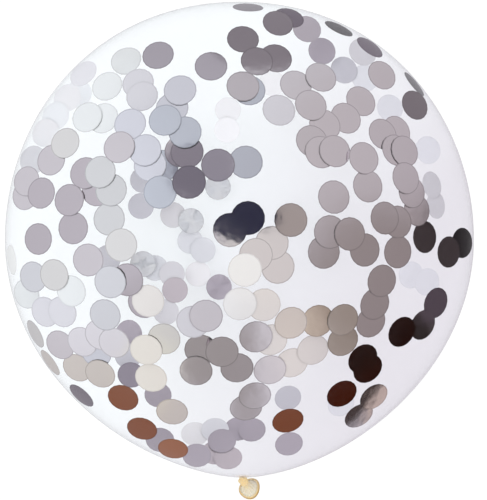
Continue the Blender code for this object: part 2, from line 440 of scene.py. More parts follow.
@dataclass
class LatexSkin:
    """The one dipped piece of latex: body, drawn-in neck, knot, tail, rolled lip and mouth."""

    body_width: float
    crown_height: float
    axis_height: float
    neck_drop: float = 0.461
    teat_drop: float = 0.0015
    teat_width: float = 0.070
    crown_fullness: float = 0.94
    neck_fullness: float = 1.19
    waist_width: float = 0.012
    waist_pleat: float = 0.12
    neck_side_step: float = 0.0065
    side_step_power: float = 6
    knot_width: float = 0.0175
    knot_length: float = 0.014
    knot_wrap: float = 0.12
    knot_turns: float = 1.4
    knot_pleat_share: float = 0.4
    knot_gather_rise: float = 0.2
    pinch_width: float = 0.009
    tail_length: float = 0.033
    tail_pleat: float = 0.09
    mouth_width: float = 0.0429
    lip_bead_width: float = 0.0050
    lip_bead_start: float = -110.0
    lip_bead_end: float = 180.0
    mouth_depth: float = 0.019
    tail_wall: float = 0.0016
    droop_radius: float = 0.0138
    droop_angle: float = 62.0
    droop_lean: float = 21.0
    mouth_corners: int = 3
    mouth_corner: float = 0.045
    mouth_corner_turn: float = 80.0
    flare_power: float = 1.5
    pleats: tuple[tuple[int, float, float], ...] = ((15, 1.0, 0.0), (23, 0.35, 1.1), (38, 0.22, 2.3))
    pucker_depth: float = 0.0006
    pucker_reach: float = 0.045
    gather_at_waist: float = 0.75
    gather_at_lip: float = 0.15
    gather_at_bead: float = 0.85
    gather_reach: float = 0.012
    fold_streaks: float = 0.35
    sides: int = 240
    body_rings: int = 56
    shoulder_rings: int = 16
    knot_rings: int = 28
    tail_rings: int = 22
    lip_rings: int = 14
    mouth_rings: int = 16

    @classmethod
    def from_frame(cls) -> "LatexSkin":
        """Takes the body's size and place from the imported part.

        Returns:
            The skin.
        """
        low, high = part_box(CAD_NODE)
        width = high.x - low.x
        return cls(body_width=width, crown_height=high.y, axis_height=high.z - width / 2)

    @property
    def bead_radius(self) -> float:
        """Radius of the rolled lip's bead."""
        return self.lip_bead_width / 2

    @property
    def lip_radius(self) -> float:
        """Radius of the ring that the bead follows."""
        return self.mouth_width / 2 - self.bead_radius

    @property
    def knot_end(self) -> float:
        """Distance along the axis at which the knot ends."""
        return self.neck_drop + self.tail_wall + self.knot_length

    @property
    def lip_place(self) -> float:
        """Distance along the axis at which the lip stands."""
        return self.knot_end + self.tail_length

    @property
    def tail_end_radius(self) -> float:
        """Radius at which the tail's outside meets the lip's bead."""
        return self.lip_radius + self.bead_radius * math.cos(math.radians(self.lip_bead_start))

    @property
    def tail_reach(self) -> float:
        """Distance from the knot to where the tail's outside meets the lip's bead."""
        return self.tail_length + self.bead_radius * math.sin(math.radians(self.lip_bead_start))

    def axis_at(self, distance: float) -> tuple[Vector, Matrix]:
        """Follows the axis, straight through the body and then drooping.

        Args:
            distance: Distance from the widest section, towards the neck.

        Returns:
            The point on the axis, and how a section there is turned.
        """
        past_waist = distance - self.neck_drop
        towards_neck = min(max(distance / self.neck_drop, 0), 1)
        side = self.neck_side_step * towards_neck**self.side_step_power
        point = Vector((side, -min(distance, self.neck_drop), self.axis_height))
        if past_waist <= 0:
            return point, Matrix.Identity(3)
        lean = math.radians(self.droop_lean)
        down = Vector((math.sin(lean), 0, -math.cos(lean)))
        out = Vector((0, -1, 0))
        angle = min(past_waist / self.droop_radius, math.radians(self.droop_angle))
        radius = self.droop_radius
        point += out * radius * math.sin(angle) + down * radius * (1 - math.cos(angle))
        straight = past_waist - radius * angle
        point += (out * math.cos(angle) + down * math.sin(angle)) * straight
        return point, Matrix.Rotation(angle, 3, out.cross(down))

    def folds(self, turn: float) -> float:
        """Height of the pleats at one turn round the axis, as a share of their depth."""
        return sum(depth * math.cos(count * turn + start) for count, depth, start in self.pleats)

    def outline(self, section: Section, turn: float) -> float:
        """Radius of a section at one turn round the axis, with its folds.

        Args:
            section: The section.
            turn: The turn round the axis, in radians.

        Returns:
            The radius there.
        """
        corner_turn = turn - math.radians(self.mouth_corner_turn)
        shape = section.pleat * self.folds(turn) + section.wrap * math.cos(turn - section.wrap_turn)
        shape += section.corner * math.cos(self.mouth_corners * corner_turn)
        return section.radius * (1 + shape)

    def crown_sections(self) -> Iterator[Section]:
        """Gives the sections from just below the crown to just before the widest one.

        Yields:
            Each section.
        """
        for step in range(1, self.body_rings + 1):
            angle = math.pi / 2 * step / (self.body_rings + 1)
            radius = self.body_width / 2 * math.sin(angle) ** self.crown_fullness
            yield Section(-self.crown_height * math.cos(angle), radius)

    def neck_sections(self) -> Iterator[Section]:
        """Gives the sections from the widest one down to the shoulder round the waist.

        Yields:
            Each section.
        """
        half = self.body_width / 2
        shoulder_radius = 2 * self.waist_width
        last = math.asin((shoulder_radius / half) ** (1 / self.neck_fullness))
        for step in range(self.body_rings + 1):
            angle = math.pi / 2 + (math.pi / 2 - last) * step / self.body_rings
            radius = half * math.sin(angle) ** self.neck_fullness
            drawn = self.teat_drop * math.exp(-((2 * radius / self.teat_width) ** 2))
            near_neck = math.exp(-2 * radius / self.pucker_reach)
            yield Section(
                -(self.neck_drop - self.teat_drop) * math.cos(angle) + drawn,
                radius,
                pleat=self.pucker_depth * near_neck / radius,
                gather=self.gather_at_waist * math.exp(-((radius / self.gather_reach) ** 2)),
            )

    def waist_sections(self, shoulder: Section) -> Iterator[Section]:
        """Gives the fillet from the shoulder to the gathered waist, a quarter of an ellipse.

        Args:
            shoulder: The last section of the body.

        Yields:
            Each section, down to the waist.
        """
        waist = self.waist_width / 2
        for step in range(1, self.shoulder_rings + 1):
            share = step / self.shoulder_rings
            angle = math.pi / 2 * share
            yield Section(
                self.neck_drop + (shoulder.distance - self.neck_drop) * math.cos(angle),
                waist + (shoulder.radius - waist) * (1 - math.sin(angle)),
                pleat=shoulder.pleat + (self.waist_pleat - shoulder.pleat) * share,
                gather=shoulder.gather + (self.gather_at_waist - shoulder.gather) * share,
            )

    def knot_sections(self) -> Iterator[Section]:
        """Gives the knot: a lump whose bulge goes round as it goes along, as a turn of tube does.

        Yields:
            Each section.
        """
        start = self.knot_end - self.knot_length
        for step in range(1, self.knot_rings + 1):
            share = step / (self.knot_rings + 1)
            neck = (self.waist_width + (self.pinch_width - self.waist_width) * share) / 2
            swell = math.sqrt(math.sin(math.pi * share))
            yield Section(
                start + self.knot_length * share,
                neck + (self.knot_width / 2 - neck) * swell,
                pleat=self.knot_pleat_share * self.tail_pleat,
                wrap=self.knot_wrap * swell,
                wrap_turn=2 * math.pi * self.knot_turns * share,
                gather=self.gather_at_waist + self.knot_gather_rise * swell,
            )

    def tail_radius(self, share: float) -> float:
        """Gives the tail's outer radius, at a share of its way from the knot to the lip's bead."""
        pinch = self.pinch_width / 2
        return pinch + (self.tail_end_radius - pinch) * share**self.flare_power

    def tail_section(self, distance: float, radius: float, share: float) -> Section:
        """Gives a section with the tail's pleats, corners and gather.

        Args:
            distance: Distance along the axis.
            radius: The section's radius.
            share: How far from the knot to the lip's bead, from 0 to 1.

        Returns:
            The section.
        """
        gather = self.gather_at_lip + (self.gather_at_waist - self.gather_at_lip) * (1 - share) ** 2
        pleat = self.tail_pleat * (1 - share)
        return Section(distance, radius, pleat=pleat, corner=self.mouth_corner * share, gather=gather)

    def tail_sections(self) -> Iterator[Section]:
        """Gives the tail's outside, pleated at the knot and three-cornered at the lip.

        Yields:
            Each section.
        """
        for step in range(self.tail_rings + 1):
            share = step / (self.tail_rings + 1)
            yield self.tail_section(self.knot_end + self.tail_reach * share, self.tail_radius(share), share)

    def lip_sections(self) -> Iterator[Section]:
        """Gives the rolled lip: a bead on the tail's outside that goes round to its inside.

        Yields:
            Each section.
        """
        way = self.lip_bead_end - self.lip_bead_start
        for step in range(self.lip_rings + 1):
            angle = math.radians(self.lip_bead_start + way * step / self.lip_rings)
            yield Section(
                self.lip_place + self.bead_radius * math.sin(angle),
                self.lip_radius + self.bead_radius * math.cos(angle),
                corner=self.mouth_corner,
                gather=self.gather_at_bead,
                bead=max(math.cos(angle), 0),
            )

    def mouth_sections(self) -> Iterator[Section]:
        """Gives the hollow inside the lip, one wall in from the tail's outside.

        Yields:
            Each section.
        """
        for step in range(1, self.mouth_rings + 1):
            depth = self.bead_radius + (self.mouth_depth - self.bead_radius) * step / self.mouth_rings
            share = (self.tail_length - depth) / self.tail_reach
            radius = max(self.tail_radius(share) - self.tail_wall, self.tail_wall)
            yield self.tail_section(self.lip_place - depth, radius, share)

    def place_ring(
        self,
        ring: list[bmesh.types.BMVert],
        section: Section,
        layers: dict[str, bmesh.types.BMLayerItem],
    ) -> None:
        """Moves the points of one ring onto their section, and notes how it is gathered.

        Args:
            ring: The points, which know their turns.
            section: The section.
            layers: The attributes of the skin, by name.
        """
        point, turned = self.axis_at(section.distance)
        # The gather, and so the amber, runs higher along the pleats' outward crests and lower in their
        # hollows.
        streak = self.fold_streaks * math.sqrt(section.pleat / self.tail_pleat)
        for vert in ring:
            turn = vert[layers["turn"]]
            spoke = Vector((math.cos(turn), 0, math.sin(turn)))
            vert.co = point + turned @ spoke * self.outline(section, turn)
            vert[layers["gather"]] = section.gather * (1 + streak * self.folds(turn))
            vert[layers["bead"]] = section.bead

    def loft(self, sections: list[Section], first_amber: int) -> bmesh.types.BMesh:
        """Draws one closed skin through all the sections.

        Args:
            sections: The sections, from the crown to the bottom of the mouth.
            first_amber: Index of the first section that has the second material.

        Returns:
            The skin's mesh.
        """
        mesh = bmesh.new()
        layers = {name: mesh.verts.layers.float.new(name) for name in ("turn", "gather", "bead")}
        ring = bmesh.ops.create_circle(mesh, segments=self.sides, radius=1)["verts"]
        for vert in ring:
            vert[layers["turn"]] = math.atan2(vert.co.y, vert.co.x)
        first_edges = list(mesh.edges)
        edges = first_edges
        self.place_ring(ring, sections[0], layers)
        for index, section in enumerate(sections[1:], start=1):
            made = bmesh.ops.extrude_edge_only(mesh, edges=edges)["geom"]
            ring = [item for item in made if isinstance(item, bmesh.types.BMVert)]
            edges = [item for item in made if isinstance(item, bmesh.types.BMEdge)]
            if index >= first_amber:
                for face in {face for edge in edges for face in edge.link_faces}:
                    face.material_index = 1
            self.place_ring(ring, section, layers)
        ends = ((edges, sections[-1].distance, 1), (first_edges, -self.crown_height, 0))
        for rim, distance, amber in ends:
            face = bmesh.ops.edgeloop_fill(mesh, edges=rim)["faces"]
            fan = bmesh.ops.poke(mesh, faces=face)
            fan["verts"][0].co = self.axis_at(distance)[0]
            for face in fan["faces"]:
                face.material_index = amber
        return mesh

    def flatten_resting_spot(self, mesh: bmesh.types.BMesh) -> None:
        """Takes off what lies below the floor, and closes the cut flat.

        Args:
            mesh: The skin's mesh.
        """
        cut = bmesh.ops.bisect_plane(
            mesh,
            geom=list(mesh.verts) + list(mesh.edges) + list(mesh.faces),
            plane_co=(0, 0, 0),
            plane_no=(0, 0, -1),
            clear_outer=True,
        )["geom_cut"]
        rim = [item for item in cut if isinstance(item, bmesh.types.BMEdge)]
        bmesh.ops.edgeloop_fill(mesh, edges=rim)

    def build(self) -> tuple[bpy.types.Object, BVHTree]:
        """Models and dresses the skin.

        Returns:
            The piece, and a tree of its surface for casting rays.
        """
        body = [*self.crown_sections(), *self.neck_sections()]
        waist = list(self.waist_sections(body[-1]))
        tail = [*self.knot_sections(), *self.tail_sections(), *self.lip_sections(), *self.mouth_sections()]
        mesh = self.loft(body + waist + tail, first_amber=len(body) + len(waist))
        self.flatten_resting_spot(mesh)
        bmesh.ops.recalc_face_normals(mesh, faces=list(mesh.faces))
        surface = BVHTree.FromBMesh(mesh)
        piece = piece_from(mesh, "latex_skin")
        piece.data.materials.append(ClearLatex().material())
        piece.data.materials.append(NaturalLatex().material())
        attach(piece, BODY)
        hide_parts(CAD_NODE)
        return piece, surface


def piece_from(mesh: bmesh.types.BMesh, name: str) -> bpy.types.Object:
    """Makes a smooth object at the origin from a mesh, and frees the mesh.

    Args:
        mesh: The modelled mesh.
        name: The piece's name.

    Returns:
        The new object.
    """
    data = bpy.data.meshes.new(name)
    mesh.to_mesh(data)
    mesh.free()
    data.shade_smooth()
    data.set_sharp_from_angle(angle=math.radians(SHARP_FROM_DEGREES))
    piece = bpy.data.objects.new(name, data)
    bpy.context.scene.collection.objects.link(piece)
    return piece


@dataclass(frozen=True)
class Viewpoint:
    """The camera over the balloon, set so that its picture matches the photograph."""

    balloon_radius: float
    balloon_height: float
    frame_width_px: float = 487
    frame_height_px: float = 500
    balloon_centre_px: Place = (239.5, 239.5)
    balloon_half_width_px: float = 234.5
    distance_in_radii: float = 6.7
    sensor: float = 36.0
    clip_start: float = 0.05
    clip_end: float = 60

    @property
    def distance(self) -> float:
        """How far the camera stands from the balloon's middle."""
        return self.distance_in_radii * self.balloon_radius

    @property
    def focal_px(self) -> float:
        """Focal length in pixels at which the balloon fills its outline."""
        tangent = math.sqrt(self.distance**2 - self.balloon_radius**2)
        return self.balloon_half_width_px * tangent / self.balloon_radius

    @property
    def station(self) -> Vector:
        """Gives the place of the camera over the balloon.

        Returns:
            The place.
        """
        scale = self.distance / self.focal_px
        across = (self.frame_width_px / 2 - self.balloon_centre_px[0]) * scale
        along = (self.balloon_centre_px[1] - self.frame_height_px / 2) * scale
        return Vector((across, along, self.balloon_height + self.distance))

    def ray(self, place: Place) -> Vector:
        """Gives the direction from the camera through a pixel of the photograph.

        Args:
            place: The pixel.

        Returns:
            The direction.
        """
        across = place[0] - self.frame_width_px / 2
        down = place[1] - self.frame_height_px / 2
        return Vector((across, -down, -self.focal_px)).normalized()

    def build(self) -> bpy.types.Object:
        """Creates the camera and makes it the scene's own.

        Returns:
            The camera.
        """
        data = bpy.data.cameras.new("camera")
        data.sensor_width = self.sensor
        data.lens = self.sensor * self.focal_px / self.frame_height_px
        data.clip_start = self.clip_start
        data.clip_end = self.clip_end
        camera = bpy.data.objects.new("camera", data)
        camera.location = self.station
        bpy.context.scene.collection.objects.link(camera)
        bpy.context.scene.camera = camera
        return camera


@dataclass(frozen=True)
class Drift:
    """A run of like discs that cling near each other, in the order in which they lie on the skin."""

    name: str
    film: FoilToneAndPaintedReflection
    places_px: tuple[Place, ...]
    bend: Bend = Bend.DOMED
    lean: float = 1.0
    side: Side = Side.NEAR


NEAR_DRIFTS = (
    Drift("crown_pewter", FoilToneAndPaintedReflection.PEWTER, ((158, 55), (211, 66))),
    Drift("crown", FoilToneAndPaintedReflection.SILVER, ((278, 23), (243, 39), (257, 61), (276, 58))),
    Drift("crown_rose", FoilToneAndPaintedReflection.ROSE, ((243, 86),)),
    Drift("crown_edge", FoilToneAndPaintedReflection.INK, ((290, 13),), lean=0.6),
    Drift("crown_rim", FoilToneAndPaintedReflection.SLATE, ((248, 7),), lean=0.05),
    Drift("crown_pale", FoilToneAndPaintedReflection.OPAL, ((279, 110),)),
    Drift("crown_sky", FoilToneAndPaintedReflection.SKY, ((249, 90),)),
    Drift(
        "right_high",
        FoilToneAndPaintedReflection.SILVER,
        (
            (321, 77), (311, 105), (296, 85), (364, 158), (406, 178), (335, 151), (321, 152), (312, 141),
            (325, 125), (361, 101), (346, 118), (405, 151), (396, 150), (383, 134), (397, 131), (368, 186),
            (334, 197),
        ),
    ),
    Drift("right_rim_tan", FoilToneAndPaintedReflection.SILVER, ((382, 75),), lean=1.2),
    Drift("right_rim_slate", FoilToneAndPaintedReflection.SLATE, ((415, 105),), lean=1.2),
    Drift("crown_clinging", FoilToneAndPaintedReflection.COAL, ((341, 24),), lean=0.09),
    Drift("right_clinging", FoilToneAndPaintedReflection.COAL, ((420, 79),), lean=0.05),
    Drift("right_rim_ink", FoilToneAndPaintedReflection.INK, ((370, 47),), lean=0.3),
    Drift("upper_left_edge", FoilToneAndPaintedReflection.VEIL, ((80, 70),), lean=0.7),
    Drift("upper_left_pearl", FoilToneAndPaintedReflection.PEARL, ((107, 86), (87, 117))),
    Drift("upper_left_streaked", FoilToneAndPaintedReflection.PEARL, ((126, 60),), Bend.CURLED),
    Drift("upper_left_tilted", FoilToneAndPaintedReflection.ROSE, ((119, 147),), lean=0.8),
    Drift("upper_left_opal", FoilToneAndPaintedReflection.OPAL, ((142, 96), (138, 83))),
    Drift("upper_left_sky", FoilToneAndPaintedReflection.SKY, ((165, 120),)),
    Drift("upper_left_lilac", FoilToneAndPaintedReflection.LILAC, ((180, 90), (130, 124), (145, 150), (150, 165))),
    Drift("upper_left_behind", FoilToneAndPaintedReflection.PEARL, ((103, 118),)),
    Drift("upper_left_sage", FoilToneAndPaintedReflection.SAGE, ((65, 143),)),
    Drift("upper_left_ash", FoilToneAndPaintedReflection.ASH, ((100, 172),)),
    Drift("upper_left_rose", FoilToneAndPaintedReflection.ROSE, ((51, 160),)),
    Drift("upper_left_leaning", FoilToneAndPaintedReflection.SKY, ((185, 132),)),
    Drift("upper_left_under", FoilToneAndPaintedReflection.LILAC, ((172, 108),)),
    Drift("left_dusk", FoilToneAndPaintedReflection.DUSK, ((41, 193), (69, 200), (73, 228), (38, 239), (85, 173))),
    Drift("left_mist", FoilToneAndPaintedReflection.MIST, ((33, 277), (110, 282), (105, 315))),
    Drift("left_ash", FoilToneAndPaintedReflection.ASH, ((111, 190), (109, 219))),
    Drift("left_sage", FoilToneAndPaintedReflection.SAGE, ((121, 245), (54, 275))),
    Drift("left_pearl", FoilToneAndPaintedReflection.PEARL, ((71, 291), (22, 295))),
    Drift("left_opal", FoilToneAndPaintedReflection.OPAL, ((45, 312), (62, 312))),
    Drift("left_rose", FoilToneAndPaintedReflection.ROSE, ((22, 180), (25, 195), (88, 260))),
    Drift("left_under", FoilToneAndPaintedReflection.DUSK, ((97, 190),)),
    Drift("left_curled", FoilToneAndPaintedReflection.DUSK, ((127, 280),), Bend.CURLED),
    Drift("middle_pewter", FoilToneAndPaintedReflection.PEWTER, ((189, 182),)),
    Drift("middle_rose", FoilToneAndPaintedReflection.ROSE, ((187, 152), (181, 151))),
    Drift("middle_grey", FoilToneAndPaintedReflection.SILVER, ((218, 165),)),
    Drift("middle_sky", FoilToneAndPaintedReflection.SKY, ((162, 166), (160, 192), (246, 162))),
    Drift("middle_mirror", FoilToneAndPaintedReflection.SILVER, ((230, 230), (248, 218))),
    Drift("middle_taupe", FoilToneAndPaintedReflection.ROSE, ((291, 220),)),
    Drift("middle_ivory", FoilToneAndPaintedReflection.IVORY, ((245, 270), (240, 304))),
    Drift("middle_cream", FoilToneAndPaintedReflection.CREAM, ((148, 301), (264, 305))),
    Drift("middle_pale", FoilToneAndPaintedReflection.SILVER, ((256, 255), (272, 243), (278, 267), (206, 316))),
    Drift("middle_opal", FoilToneAndPaintedReflection.OPAL, ((193, 322),)),
    Drift("middle_under", FoilToneAndPaintedReflection.DUSK, ((144, 302),)),
    Drift(
        "right",
        FoilToneAndPaintedReflection.SILVER,
        (
            (412, 192), (417, 210), (385, 218), (398, 222), (398, 252), (350, 234), (330, 232),
            (365, 250), (324, 252), (382, 281), (375, 304), (371, 322), (449, 252), (423, 325),
            (436, 303),
        ),
    ),
    Drift("right_ink", FoilToneAndPaintedReflection.INK, ((467, 243),)),
    Drift("right_tilted", FoilToneAndPaintedReflection.SILVER, ((425, 237),), lean=0.6),
    Drift("right_smoke", FoilToneAndPaintedReflection.SMOKE, ((402, 332),)),
    Drift("low_left_rim", FoilToneAndPaintedReflection.SAGE, ((33, 335),), lean=0.12),
    Drift("low_left_chalk", FoilToneAndPaintedReflection.CHALK, ((9, 260),), lean=0.1),
    Drift("low_left_sand_rim", FoilToneAndPaintedReflection.SAND, ((48, 364),), lean=0.12),
    Drift("low_left_slate", FoilToneAndPaintedReflection.INK, ((78, 399),), lean=0.25),
    Drift("low_left_silver", FoilToneAndPaintedReflection.SILVER, ((114, 343), (82, 342), (100, 335))),
    Drift("low_left_rose", FoilToneAndPaintedReflection.ROSE, ((60, 345),)),
    Drift("low_left_sand", FoilToneAndPaintedReflection.SAND, ((77, 368), (100, 374))),
    Drift("low_left_lilac", FoilToneAndPaintedReflection.LILAC, ((96, 353),)),
    Drift("low_left_cream", FoilToneAndPaintedReflection.CREAM, ((146, 350), (151, 378))),
    Drift("low_left_sage", FoilToneAndPaintedReflection.SAGE, ((164, 339),)),
    Drift("low_left_copper", FoilToneAndPaintedReflection.COPPER, ((123, 398), (142, 429))),
    Drift("low_left_amber", FoilToneAndPaintedReflection.AMBER, ((173, 449),)),
    Drift("low_left_banded", FoilToneAndPaintedReflection.SAND, ((172, 412),), lean=1.15),
    Drift("low_middle", FoilToneAndPaintedReflection.SILVER, ((222, 352), (237, 368), (196, 371), (201, 350))),
    Drift("low_gradient", FoilToneAndPaintedReflection.SILVER, ((256, 337), (270, 370))),
    Drift("low_gradient_under", FoilToneAndPaintedReflection.SILVER, ((255, 396), (246, 408))),
    Drift("low_right_sand", FoilToneAndPaintedReflection.SAND, ((291, 323),)),
    Drift("low_right_tan", FoilToneAndPaintedReflection.TAN, ((343, 320),)),
    Drift("low_right_amber", FoilToneAndPaintedReflection.AMBER, ((318, 321),)),
    Drift("low_right_dove", FoilToneAndPaintedReflection.DOVE, ((343, 341),)),
    Drift("low_right_pale", FoilToneAndPaintedReflection.CREAM, ((313, 350), (292, 363), (271, 340))),
    Drift("low_right", FoilToneAndPaintedReflection.SILVER, ((374, 397), (359, 416))),
    Drift("low_right_smoke", FoilToneAndPaintedReflection.SMOKE, ((363, 359), (368, 369))),
    Drift("low_right_umber", FoilToneAndPaintedReflection.UMBER, ((342, 394),)),
    Drift("low_right_copper", FoilToneAndPaintedReflection.COPPER, ((288, 421),)),
)

FAR_DRIFTS = (
    Drift("far_faint", FoilToneAndPaintedReflection.FAINT, ((60, 92), (78, 94), (50, 112), (35, 127)), side=Side.FAR),
    Drift(
        "far_ghost",
        FoilToneAndPaintedReflection.GHOST,
        ((272, 83), (228, 110), (227, 130), (198, 274), (195, 434)),
        side=Side.FAR,
    ),
    Drift(
        "far_pale",
        FoilToneAndPaintedReflection.PALE,
        (
            (365, 78), (390, 108), (428, 150), (33, 160), (427, 282), (411, 275), (190, 241), (203, 250),
            (155, 268), (215, 430), (341, 404),
        ),
        side=Side.FAR,
    ),
    Drift("far_veil", FoilToneAndPaintedReflection.VEIL, ((364, 50), (173, 215), (166, 312), (172, 274)), side=Side.FAR),
    Drift("far_clinging", FoilToneAndPaintedReflection.VEIL, ((436, 205), (432, 185)), lean=0.3, side=Side.FAR),
    Drift(
        "far_haze",
        FoilToneAndPaintedReflection.HAZE,
        (
            (344, 70), (143, 180), (288, 398), (108, 258), (141, 206), (128, 356),
        ),
        side=Side.FAR,
    ),
    Drift("far_heather", FoilToneAndPaintedReflection.HEATHER, ((175, 290), (215, 453), (228, 458)), side=Side.FAR),
    Drift(
        "far_mauve",
        FoilToneAndPaintedReflection.MAUVE,
        (
            (307, 29), (322, 51), (158, 395), (160, 440), (196, 460), (222, 441), (238, 429),
            (252, 430), (289, 444),
        ),
        side=Side.FAR,
    ),
    Drift("far_steel", FoilToneAndPaintedReflection.STEEL, ((131, 375),), side=Side.FAR),
    Drift("far_crumpled", FoilToneAndPaintedReflection.CRINKLE, ((218, 187), (191, 221), (143, 264)), Bend.CRUMPLED, side=Side.FAR),
    Drift("far_crumpled_mauve", FoilToneAndPaintedReflection.MAUVE, ((129, 333), (219, 287)), Bend.CRUMPLED, side=Side.FAR),
)


@dataclass(frozen=True)
class Lean:
    """How the discs lean in from the skin.

    They are stiff, and cling only by the part of the rim that is nearest the limb, so the rest
    droops inwards. Their directions change evenly over the balloon, as the photograph shows.
    """

    middle_px: Place = (215.0, 238.0)
    right_px: float = 380.0
    left_px: float = 430.0
    down_px: float = 310.0
    up_px: float = 430.0
    most_degrees: float = 40.0
    least_turn_degrees: float = 0.001
    least_away_squared: float = 0.04

    def slopes(self, place: Place) -> tuple[float, float]:
        """Gives how far a disc faces across and up, per pixel from the even middle.

        Args:
            place: The pixel of the photograph at which its middle shows.

        Returns:
            The two shares.
        """
        across_px = self.right_px if place[0] > self.middle_px[0] else self.left_px
        up_px = self.down_px if place[1] > self.middle_px[1] else self.up_px
        return 1 / across_px, 1 / up_px

    def facing(self, place: Place, side: Side) -> Vector:
        """Gives the outward direction of a disc that leans freely.

        Args:
            place: The pixel of the photograph at which its middle shows.
            side: The half of the skin that it clings to.

        Returns:
            The direction.
        """
        per_px = self.slopes(place)
        across = (place[0] - self.middle_px[0]) * per_px[0]
        up = (self.middle_px[1] - place[1]) * per_px[1]
        away = math.sqrt(max(1 - across**2 - up**2, self.least_away_squared))
        return Vector((across, up, away if side is Side.NEAR else -away)).normalized()

    def limited(self, facing: Vector, normal: Vector, share: float) -> Vector:
        """Turns a free direction back towards the skin's normal, as far as the disc has to cling."""
        turn = math.degrees(normal.angle(facing))
        return normal.slerp(facing, min(share, self.most_degrees / max(turn, self.least_turn_degrees)))


@dataclass
class SeatedDisc:
    """A disc in its place, which can still be moved along the line of sight."""

    pattern: bpy.types.Mesh
    turned: Matrix
    middle: Vector
    inward: Vector

    def __post_init__(self) -> None:
        """Works out where the points of the disc's face are."""
        self.sink(0.0)

    @property
    def outward(self) -> Vector:
        """The direction of its outer face."""
        return self.turned.to_3x3().col[2]

    @property
    def slope(self) -> float:
        """How squarely the line of sight meets the disc, from 0 to 1."""
        return max(-self.inward.dot(self.outward), LEAST_SLOPE)

    def sink(self, way: float) -> None:
        """Moves the disc further into the balloon.

        Args:
            way: How far, along the line of sight.
        """
        self.middle = self.middle + self.inward * way
        self.matrix = Matrix.Translation(self.middle) @ self.turned
        face = self.pattern.vertices[: len(self.pattern.vertices) // 2]
        self.spots = [self.matrix @ vert.co for vert in face]


